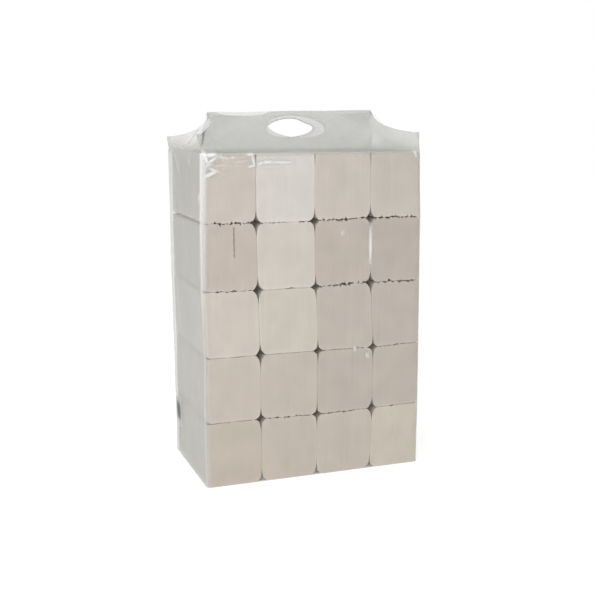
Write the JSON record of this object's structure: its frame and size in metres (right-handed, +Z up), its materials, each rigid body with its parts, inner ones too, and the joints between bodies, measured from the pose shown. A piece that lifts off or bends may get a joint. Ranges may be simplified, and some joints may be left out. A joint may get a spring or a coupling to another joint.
{
  "type": "case of folded paper towels",
  "caption": "Case of folded paper hand towels: banded packs stacked upright in a clear gusseted film bag with a tented top, scooped shoulders and a grip hole",
  "frame": {"origin": "middle of the face that the case stands on", "axes": "+X across the case from the left side to the right, +Y from the front to the back, +Z up to the ridge with the grip hole"},
  "size_m": [0.4124, 0.2316, 0.6471],
  "materials": {
    "clear_film": "thin clear polyethylene film, slightly milky, glossy where it is creased",
    "towel_paper": "soft uncoated recycled tissue, matt",
    "band_paper": "thin uncoated paper band, matt"
  },
  "bodies": {
    "root": {"film_bag": "clear_film", "towel_stack_row_1_column_1": "towel_paper", "paper_band_row_1_column_1": "band_paper", "towel_stack_row_1_column_2": "towel_paper", "paper_band_row_1_column_2": "band_paper", "towel_stack_row_1_column_3": "towel_paper", "paper_band_row_1_column_3": "band_paper", "towel_stack_row_1_column_4": "towel_paper", "paper_band_row_1_column_4": "band_paper", "towel_stack_row_2_column_1": "towel_paper", "paper_band_row_2_column_1": "band_paper", "towel_stack_row_2_column_2": "towel_paper", "paper_band_row_2_column_2": "band_paper", "towel_stack_row_2_column_3": "towel_paper", "paper_band_row_2_column_3": "band_paper", "towel_stack_row_2_column_4": "towel_paper", "paper_band_row_2_column_4": "band_paper", "towel_stack_row_3_column_1": "towel_paper", "paper_band_row_3_column_1": "band_paper", "towel_stack_row_3_column_2": "towel_paper", "paper_band_row_3_column_2": "band_paper", "towel_stack_row_3_column_3": "towel_paper", "paper_band_row_3_column_3": "band_paper", "towel_stack_row_3_column_4": "towel_paper", "paper_band_row_3_column_4": "band_paper", "towel_stack_row_4_column_1": "towel_paper", "paper_band_row_4_column_1": "band_paper", "towel_stack_row_4_column_2": "towel_paper", "paper_band_row_4_column_2": "band_paper", "towel_stack_row_4_column_3": "towel_paper", "paper_band_row_4_column_3": "band_paper", "towel_stack_row_4_column_4": "towel_paper", "paper_band_row_4_column_4": "band_paper", "towel_stack_row_5_column_1": "towel_paper", "paper_band_row_5_column_1": "band_paper", "towel_stack_row_5_column_2": "towel_paper", "paper_band_row_5_column_2": "band_paper", "towel_stack_row_5_column_3": "towel_paper", "paper_band_row_5_column_3": "band_paper", "towel_stack_row_5_column_4": "towel_paper", "paper_band_row_5_column_4": "band_paper"}
  },
  "joints": []
}
